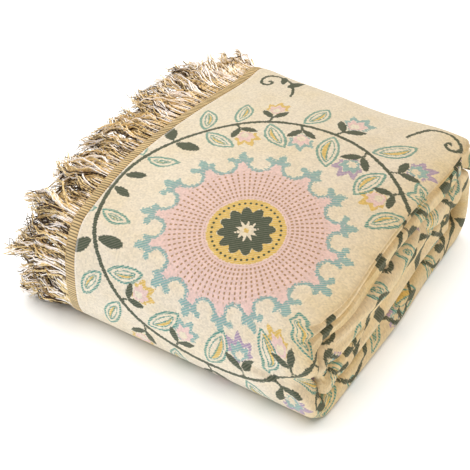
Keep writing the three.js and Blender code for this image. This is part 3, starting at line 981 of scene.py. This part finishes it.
def ribbed_cotton(colours, fringe):
    """Woven cotton rib: a narrow heading whose raised cords keep their full colour, with painted shade that darkens the
    grooves between them.
    """
    material, add = new_material("Ribbed cotton heading")
    along = add("SeparateXYZ", (add("UVMap", uv_map="yarn"),)).node.outputs[1]
    turn = add("Math", (along, 1 / fringe.rib_pitch), operation="MULTIPLY")
    cord = add("Math", (turn, 0.5), operation="ADD")
    cord = add("Math", (cord,), operation="FLOOR")
    chance = add("TexWhiteNoise", {"W": cord}, noise_dimensions="1D")
    # Painted shade: the colour falls dark in the grooves between the cords; each cord also has its own random tone
    painted_groove_shade_and_tone = add("MapRange", (wave(add, turn, operation="COSINE"), -1.0, 0.5, 0.14, 0.84))
    painted_groove_shade_and_tone = add("Math", (chance, 0.24, painted_groove_shade_and_tone), operation="MULTIPLY_ADD")
    colour = add("VectorMath", {0: tuple(colours.heading), "Scale": painted_groove_shade_and_tone}, operation="SCALE")
    close_material(add, {"Base Color": colour, "Roughness": 0.92, **COTTON, "Sheen Weight": 0.15})
    return material


def make_piece(name, points, faces, uv, uv_name, values, material):
    """Puts worked-out points, faces, flat places and values into a mesh object of the scene."""
    mesh = bpy.data.meshes.new(name)
    mesh.from_pydata(points.tolist(), [], [face for group in faces for face in group.tolist()])
    corners = np.empty(len(mesh.loops), int)
    mesh.loops.foreach_get("vertex_index", corners)
    mesh.uv_layers.new(name=uv_name).data.foreach_set("uv", uv[corners].astype(np.float32).ravel())
    for value_name, value in values.items():
        mesh.attributes.new(value_name, "FLOAT", "POINT").data.foreach_set("value", value.astype(np.float32))
    mesh.shade_smooth()
    mesh.set_sharp_from_angle(angle=math.radians(SHARP_TURN))
    mesh.materials.append(material)
    piece = bpy.data.objects.new(name, mesh)
    bpy.context.scene.collection.objects.link(piece)
    return piece


def cloth_patches(pack):
    """The grids of both of the sheet's faces: places from the hem, places on the route, and the lift from the middle
    of the thickness. They are fine where the pattern shows and coarser below."""
    half = pack.sizes.sheet_thickness / 2
    seam = pack.seam
    shown = pack.shown_route + 4 * MM
    gap = 2 * MM
    bounds = np.array([0, 24 * MM, 176 * MM, pack.right - 6 * MM, seam])

    def strip(*pitches):
        """Places from the hem to the seam: by the hem, on the flat, on the shoulder and round the folded edge."""
        zones = [steps(*zone)[:-1] for zone in zip(bounds[:-1], bounds[1:], np.array(pitches) * MM)]
        return np.append(np.concatenate(zones), seam)

    def route(begin, end, pitch):
        """Places on the route at an even true distance."""
        return pack.at_arc(steps(pack.arc(begin), pack.arc(end), pitch * MM))

    inner = leg_steps(pack.strip, seam + gap, pitch=45 * MM, turn_count=6)
    slow = leg_steps(pack.route, 0, pitch=24 * MM, turn_count=9)
    lined = np.append(route(0, shown, 3.6), route(shown + gap, pack.route_length, 8))
    wrap = sum(length for length, _ in pack.route[:4]) - 8 * MM
    inside = sum(length for length, _ in pack.route[:5]) + 8 * MM
    return {
        "shown": (strip(1.8, 1.8, 1.8, 1.25), route(0, shown, 1.8), half),
        "under": (strip(5, 14, 8, 1.8), route(shown + gap, wrap, 3), half),
        "wrap": (strip(2.6, 2.6, 2.6, 1.8), route(wrap + gap, inside, 2.8), half),
        "inside": (strip(5, 14, 8, 1.8), route(inside + gap, pack.route_length, 3), half),
        "rolled": (inner, slow, half),
        "lining": (strip(5, 14, 4, 2.2), lined, -half),
        "core": (inner, slow, -half),
    }


def weave_cloth(pack, pattern):
    """The sheet's points, faces, flat places and yarn distances.

    Each patch is a grid over the distance from the hem and the distance along the route, and all are zipped together
    along their edges, so that the sheet is closed. In a tuck the flat places slip with the cloth."""
    patches = cloth_patches(pack)
    outer = ("shown", "under", "wrap", "inside")
    points, flat, grids = [], [], {}
    count = 0
    for name, (across, along, lift) in patches.items():
        wide, long = np.meshgrid(across, along)
        sunk = smoothstep(wide, pack.seam, pack.seam + 60 * MM)
        points.append(pack.cloth(wide, long, lift, sunk=sunk).reshape(-1, 3))
        slip = pack.cloth(wide, long, lift, 0, sunk, TUCKS) - pack.cloth(wide, long, lift, 0, sunk, ())
        flat.append(np.stack([wide + slip[..., 0], pack.arc(long)], -1).reshape(-1, 2))
        grids[name] = count + np.arange(wide.size).reshape(wide.shape)
        count += wide.size

    def border(side, *names):
        """The point numbers and places of the patches' rows on one side of the sheet, end to end."""
        pick = {"back": np.s_[0, :], "end": np.s_[-1, :], "hem": np.s_[:, 0], "inner": np.s_[:, -1]}[side]
        axis = 0 if side in ("back", "end") else 1
        numbers = np.concatenate([grids[name][pick] for name in names])
        return numbers, np.concatenate([patches[name][axis] for name in names])

    faces = [grid_faces(grids[name])[:, :: -1 if patches[name][2] < 0 else 1] for name in patches]
    for ahead, behind in zip(outer[:-1], outer[1:]):
        faces.append(zip_faces(*border("end", ahead), *border("back", behind), True))
    faces.append(zip_faces(*border("inner", *outer), *border("hem", "rolled"), False))
    faces.append(zip_faces(*border("inner", "lining"), *border("hem", "core"), True))
    faces.append(zip_faces(*border("hem", *outer), *border("hem", "lining"), True))
    faces.append(zip_faces(*border("inner", "rolled"), *border("inner", "core"), False))
    faces.append(zip_faces(*border("back", "shown", "rolled"), *border("back", "lining", "core"), False))
    faces.append(zip_faces(*border("end", "inside", "rolled"), *border("end", "lining", "core"), True))
    flat = np.concatenate(flat)
    patterned = grids["rolled"].min()
    yarns = {name: np.full(count, FAR_OFF) for name in CHARTED}
    for name, distance in weave_pattern(flat[:patterned], pattern).items():
        yarns[name][:patterned] = distance
    return np.concatenate(points), faces, flat, yarns


def leg_steps(legs, begin, pitch, turn_count):
    """Places from a begin to the end of legs of (length, bend): a pitch apart on the runs, so many on each turn."""
    places = []
    done = 0.0
    for length, bend in legs:
        low, high = max(done, begin), done + length
        if high - low > 1 * MM:
            count = max(1, int(round((high - low) / pitch))) if bend == 0 else turn_count
            places.append(np.linspace(low, high, count + 1)[:-1])
        done += length
    return np.append(np.concatenate(places), done)


def hem_line(pack, x, rise):
    """Places on the route at even true distances along a line beside the hem, with those distances."""
    along = np.linspace(0, pack.route_length, HEM_STEPS)
    line = pack.section(np.full_like(along, x), np.full_like(along, rise), along)
    length = np.append(0, np.cumsum(np.linalg.norm(np.diff(line, axis=0), axis=1)))
    even = np.linspace(0, length[-1], HEM_STEPS)
    return np.interp(even, length, along), even


def rib_heading(pack, fringe):
    """The heading's points, faces and flat places: an oval section along the hem, which swells at each rib.

    Its thickness is a full share times the root of the rib wave's height, so that the cords are round."""
    along, even = hem_line(pack, -fringe.heading_width / 2, pack.rise)
    swell = 0.3 + 0.7 * np.sqrt(np.abs(np.cos(math.pi * even / fringe.rib_pitch)))
    sides = 10
    turn = np.arange(sides) / sides * FULL_TURN
    reach = fringe.heading_width / 2
    x = -fringe.heading_gap - reach + reach * np.sign(np.cos(turn)) * np.abs(np.cos(turn)) ** 0.5
    rise = fringe.heading_thickness / 2 * np.sign(np.sin(turn)) * np.abs(np.sin(turn)) ** 0.7
    wide, long = np.meshgrid(x, along)
    points = pack.section(wide, pack.rise + rise * swell[:, None], long)
    numbers = np.arange(points.shape[0] * points.shape[1]).reshape(points.shape[:2])
    looped = np.concatenate([numbers, numbers[:, :1]], 1)
    faces = [grid_faces(looped)[:, ::-1], numbers[:1], numbers[-1:, ::-1]]
    uv = np.stack([np.broadcast_to(turn / FULL_TURN, wide.shape), np.broadcast_to(even[:, None], wide.shape)], -1)
    points = points.reshape(-1, 3)
    points[:, 2] = np.maximum(points[:, 2], FLOOR_GAP * MM)
    return points, faces, uv.reshape(-1, 2)


def slow_noise(random, count, spread):
    """Random values that change slowly from one to the next: even noise smoothed by a bell, at unit scale."""
    window = bell(np.arange(-3 * spread, 3 * spread + 1) / spread)
    noise = np.convolve(random.normal(size=count + len(window) - 1), window, "valid")
    return noise / np.std(noise)


def strand_roots(pack, fringe, begin, end, per_rib, random):
    """Each strand's lock, the place of its rib on the route, its root on the heading between two places on the route,
    and the middle of its lock's roots."""
    edge = -fringe.heading_gap - 0.96 * fringe.heading_width
    over = pack.rise - 0.1 * fringe.heading_thickness
    along, even = hem_line(pack, edge, over)
    low, high = np.interp((begin, end), along, even)
    ribs = int((high - low) / fringe.rib_pitch)
    rib = np.repeat(np.arange(ribs), per_rib)
    count = len(rib)
    lock = rib // fringe.lock_ribs
    rib_place = np.interp(np.linspace(low, high, ribs), even, along)[rib]
    place = np.clip(rib_place + random.normal(size=count) * 0.3 * MM, 0, pack.route_length)
    root = pack.section(np.full(count, edge), over + random.uniform(-0.7, 0.5, count) * MM, place)
    middle = np.stack([np.bincount(lock, part) for part in root.T], -1) / np.bincount(lock)[:, None]
    return lock, rib_place, root, middle[lock]


def lock_drape(pack, fringe, middle):
    """How far each lock's tips fan out along the pack and how far they fall, by the middle of its roots.

    The fan grows evenly towards the back, and the front end leans back by a share of it. The fall is read from the
    table by height, and is less on top towards the back."""
    sizes = pack.sizes
    height, back = middle[:, 2], middle[:, 1] - pack.origin[1]
    lengthwise = np.minimum(2 * back / sizes.pack_length - 1, 0.7) - fringe.fan_shift
    fan = fringe.fan * lengthwise * np.where(lengthwise > 0, 1, -fringe.front_lean)
    table = np.array(FALL_BY_HEIGHT) * MM
    on_top = smoothstep(height, 0.75 * pack.height, pack.height)
    behind = smoothstep(back, 0.2 * sizes.pack_length, 0.85 * sizes.pack_length)
    fall = np.interp(height, table[:, 0], table[:, 1]) * (1 - 0.8 * behind * on_top)
    return fan[:, None], fall[:, None]


def strand_paths(pack, fringe, begin, end, per_rib, random):
    """Paths of the strands that leave the heading between two places on the route, in loose locks, and the distances
    along them.

    A lock's path over its share of length leaves the heading level, falls with the square of the share, fans out with
    the share and swings aside by a slow wave. Each strand runs straight over the heading, closes in on that path and
    winds round it on a small circle that opens towards the tip, and a few stray from it."""
    lock, rib_place, root, middle = strand_roots(pack, fringe, begin, end, per_rib, random)
    fan, fall = lock_drape(pack, fringe, middle)
    count, locks = len(lock), lock[-1] + 1
    own = random.normal(size=(3, count, 1))
    length = fringe.strand_length + fringe.strand_spread * (slow_noise(random, locks, 1.0)[lock] + 0.6 * own[0, :, 0])
    length = np.clip(length, 0.6 * fringe.strand_length, 1.2 * fringe.strand_length)
    length = (length * (0.45 + 0.55 * smoothstep(rib_place, 0, 90 * MM)))[:, None]
    share = np.linspace(0, 1, STRAND_POINTS)
    gather = smoothstep(share, 0.06, 0.7)
    free = share * smoothstep(share, 0.04, 0.5)
    lean, bob = (slow_noise(random, locks, 0.9)[lock, None] for _ in range(2))
    phase = random.uniform(0, 1, (2, locks))[:, lock, None]
    aside = lean + 0.7 * np.sin(FULL_TURN * (1.2 * share + phase[0]))
    lifted = 0.7 * bob + 0.6 * np.sin(FULL_TURN * (1.1 * share + phase[1]))
    winding = np.where(random.uniform(size=locks) < 0.5, -0.7, 0.7)[lock, None]
    turn = FULL_TURN * (random.uniform(size=(count, 1)) + winding * share)
    circle = fringe.lock_radius * np.sqrt(random.uniform(0.05, 1, (count, 1))) * gather * (0.7 + 0.9 * share**2)
    stray = np.where(random.uniform(size=(count, 1)) < fringe.stray_share, 1.1, 0.12) * free * (1.4 - share)
    waves = length / fringe.crimp_pitch * share + random.uniform(size=(count, 1))
    crimp = fringe.crimp * gather * np.sin(FULL_TURN * waves)
    start = middle[:, :, None] + (root - middle)[:, :, None] * (1 - 0.7 * gather)
    reach = np.sqrt(np.maximum(length**2 - (0.8 * fall) ** 2, (0.5 * length) ** 2))
    x = start[:, 0] - reach * share
    y = start[:, 1] + fan * length / fringe.strand_length * share + circle * np.cos(turn)
    y = y + fringe.sway * (aside * free + stray * own[1]) + crimp
    z = start[:, 2] - fall * share**2 + circle * np.sin(turn)
    z = z + 0.7 * fringe.sway * (lifted * free + stray * own[2]) + 0.6 * crimp
    half_pack = pack.sizes.pack_length / 2
    y = held_in(y, pack.origin[1] + half_pack, half_length=half_pack + 4 * MM, soft=12 * MM)
    return np.stack([x, y, np.maximum(z, fringe.strand_radius + FLOOR_GAP * MM)], -1), length * share


def held_in(value, centre, half_length, soft):
    """Values that stay within a half length of a centre, or pass it by a soft distance at most, as a tanh."""
    beyond = np.abs(value - centre) - half_length
    held = centre + np.sign(value - centre) * (half_length + soft * np.tanh(beyond / soft))
    return np.where(beyond > 0, held, value)


def spin_fringe(pack, fringe, begin, end, per_rib, seed):
    """Points, faces, flat places and tone values of a run of the fringe: a three-sided section that tapers towards the
    tip is carried along each strand's path, level with the floor on one side. Towards the back each strand's tone is
    raised as painted light, which offsets the shade that the strands stand in there."""
    random = np.random.default_rng(seed)
    path, distance = strand_paths(pack, fringe, begin, end, per_rib, random)
    count, spans = path.shape[0], path.shape[1] - 1
    taper = 1 - 0.6 * np.linspace(0, 1, spans + 1) ** 2
    thick = fringe.strand_radius * taper * random.uniform(0.7, 1.15, (count, 1))
    way = np.gradient(path, axis=1)
    way = way / np.linalg.norm(way, axis=-1, keepdims=True)
    beside = np.cross(way, np.array([0.0, 0.0, 1.0]))
    beside = beside / np.linalg.norm(beside, axis=-1, keepdims=True)
    over = np.cross(beside, way)
    sides = 3
    corner = np.arange(sides) / sides * FULL_TURN
    ring = beside[:, :, None] * np.cos(corner)[:, None] + over[:, :, None] * np.sin(corner)[:, None]
    points = (path[:, :, None] + thick[:, :, None, None] * ring).reshape(-1, 3)
    points[:, 2] = np.maximum(points[:, 2], 0.5 * FLOOR_GAP * MM)
    numbers = np.arange(count * (spans + 1) * sides).reshape(count, spans + 1, sides)
    after = np.roll(numbers, -1, axis=2)
    walls = np.stack([numbers[:, :-1], after[:, :-1], after[:, 1:], numbers[:, 1:]], -1).reshape(-1, 4)
    faces = [walls, numbers[:, 0, ::-1], numbers[:, -1]]
    around = np.broadcast_to(corner / FULL_TURN, numbers.shape)
    uv = np.stack([around, np.broadcast_to(distance[:, :, None], numbers.shape)], -1)
    shade = random.choice(STRAND_TONES, count, p=TONE_SHARES)
    # Painted light: each strand's tone grows lighter towards the back, where the strands stand in shade
    painted_light_behind = 0.16 * smoothstep((path[:, 0, 1] - pack.origin[1]) / pack.sizes.pack_length, 0.45, 0.95)
    tone = np.clip(shade + painted_light_behind + random.normal(size=count) * 0.07, 0, 1)
    return points, faces, uv.reshape(-1, 2), np.broadcast_to(tone[:, None, None], numbers.shape).reshape(-1)


def lay_floor(scene):
    """A wide floor of matt white paper, which isn't part of the throw."""
    mesh = bpy.data.meshes.new("floor")
    corners = ((-1, -1), (1, -1), (1, 1), (-1, 1))
    mesh.from_pydata([(x * FLOOR_REACH, y * FLOOR_REACH, 0) for x, y in corners], [], [(0, 1, 2, 3)])
    material, add = new_material("Matt white paper")
    close_material(add, {"Base Color": linear("FBFBFA"), "Roughness": 0.9, "Specular IOR Level": 0.1})
    mesh.materials.append(material)
    floor = bpy.data.objects.new("floor", mesh)
    scene.collection.objects.link(floor)


def hang_lights(scene):
    """The table's lights, each aimed at the middle of the floor and kept to its own objects, in a faint world."""
    for name, place, kind, size, power, tint, lit in LIGHTS:
        light = bpy.data.lights.new(name, kind)
        if kind == "AREA":
            light.shape = "DISK"
            light.size = size
        else:
            light.angle = size
        light.energy = power
        light.color = linear(tint)
        lamp = bpy.data.objects.new(name, light)
        lamp.location = place
        lamp.rotation_euler = Vector(place).to_track_quat("Z", "Y").to_euler()
        scene.collection.objects.link(lamp)
        receivers = bpy.data.collections.new(name)
        for object_name in lit:
            receivers.objects.link(bpy.data.objects[object_name])
        lamp.light_linking.receiver_collection = receivers
    world = bpy.data.worlds.new("studio")
    world.use_nodes = True
    background = world.node_tree.nodes["Background"]
    background.inputs["Color"].default_value = (*linear(WORLD_TINT), 1)
    background.inputs["Strength"].default_value = WORLD_STRENGTH
    scene.world = world


def aim_camera(scene):
    """The camera, at its turn, rise and distance from the place in the pack that it looks at."""
    turn, rise = math.radians(CAMERA_TURN), math.radians(CAMERA_RISE)
    back = Vector((math.sin(turn) * math.cos(rise), -math.cos(turn) * math.cos(rise), math.sin(rise)))
    camera = bpy.data.objects.new("camera", bpy.data.cameras.new("camera"))
    camera.data.sensor_width = CAMERA_SENSOR
    camera.data.lens = CAMERA_LENS
    target = Pack(scene.throw_pack).origin + np.array(CAMERA_AIM) * MM
    camera.location = Vector(target) + back * CAMERA_DISTANCE
    camera.rotation_euler = back.to_track_quat("Z", "Y").to_euler()
    scene.collection.objects.link(camera)
    scene.camera = camera


class THROW_OT_weave_cloth(bpy.types.Operator):
    """Weaves the folded sheet with its pattern"""

    bl_idname = "throw.weave_cloth"
    bl_label = "Weave the Cloth"

    def execute(self, context):
        scene = context.scene
        pack = Pack(scene.throw_pack)
        points, faces, flat, yarns = weave_cloth(pack, scene.throw_pattern)
        material = jacquard_cotton(scene.throw_pattern, scene.throw_colours)
        cloth = make_piece("throw_cloth", points, faces, flat, "cloth", yarns, material)
        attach(cloth, "root")
        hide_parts("blanket")
        return {"FINISHED"}


class THROW_OT_rib_heading(bpy.types.Operator):
    """Weaves the ribbed heading along the hem"""

    bl_idname = "throw.rib_heading"
    bl_label = "Rib the Heading"

    def execute(self, context):
        scene = context.scene
        points, faces, uv = rib_heading(Pack(scene.throw_pack), scene.throw_fringe)
        material = ribbed_cotton(scene.throw_colours, scene.throw_fringe)
        heading = make_piece("throw_heading", points, faces, uv, "yarn", {}, material)
        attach(heading, "root")
        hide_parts("fringe")
        return {"FINISHED"}


class THROW_OT_spin_fringe(bpy.types.Operator):
    bl_idname = "throw.spin_fringe"
    bl_label = "Spin the Fringe"

    def execute(self, context):
        scene = context.scene
        pack = Pack(scene.throw_pack)
        sizes = scene.throw_fringe
        material = plied_cotton(scene.throw_colours, sizes)
        for name, begin, end, per_rib, seed in (
            # name, begin, end, per_rib, seed
            ("throw_fringe", 0, pack.shown_route, sizes.shown_strands, 11),
            ("throw_fringe_below", pack.shown_route, pack.route_length, sizes.hidden_strands, 12),
        ):
            # Each strand's tone, raised towards the back as painted light
            points, faces, uv, tones_and_painted_light = spin_fringe(pack, sizes, begin, end, per_rib, seed)
            strands = make_piece(name, points, faces, uv, "yarn", {"tone": tones_and_painted_light}, material)
            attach(strands, "root")
            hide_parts("fringe")
        return {"FINISHED"}


class THROW_OT_set_stage(bpy.types.Operator):
    """Sets the floor, the soft lights and the camera"""

    bl_idname = "throw.set_stage"
    bl_label = "Set the Stage"

    def execute(self, context):
        scene = context.scene
        lay_floor(scene)
        hang_lights(scene)
        aim_camera(scene)
        scene.view_settings.view_transform = "Standard"
        return {"FINISHED"}


class THROW_PT_panel(bpy.types.Panel):
    """The throw's pieces and sizes in the sidebar"""

    bl_label = "Folded Cotton Throw"
    bl_idname = "THROW_PT_panel"
    bl_space_type = "VIEW_3D"
    bl_region_type = "UI"
    bl_category = "Throw"

    def draw(self, context):
        layout = self.layout
        for operator in OPERATORS:
            layout.operator(operator.bl_idname)
        for group in GROUPS:
            box = layout.box()
            values = getattr(context.scene, group)
            for name in values.__annotations__:
                box.prop(values, name)


GROUPS = {
    "throw_pack": ThrowPackSizes,
    "throw_pattern": ThrowPatternSizes,
    "throw_fringe": ThrowFringeSizes,
    "throw_colours": ThrowColours,
}
OPERATORS = (THROW_OT_weave_cloth, THROW_OT_rib_heading, THROW_OT_spin_fringe, THROW_OT_set_stage)


def register():
    """Registers the classes and hangs the sizes on the scene."""
    for kind in (*GROUPS.values(), *OPERATORS, THROW_PT_panel):
        bpy.utils.register_class(kind)
    for name, kind in GROUPS.items():
        setattr(bpy.types.Scene, name, PointerProperty(type=kind))


def unregister():
    """Takes the sizes and the classes away again."""
    for name in GROUPS:
        delattr(bpy.types.Scene, name)
    for kind in reversed((*GROUPS.values(), *OPERATORS, THROW_PT_panel)):
        bpy.utils.unregister_class(kind)


def main():
    """Makes the throw and its stage."""
    register()
    bpy.ops.throw.weave_cloth()
    bpy.ops.throw.rib_heading()
    bpy.ops.throw.spin_fringe()
    bpy.ops.throw.set_stage()


if __name__ == "__main__":
    main()
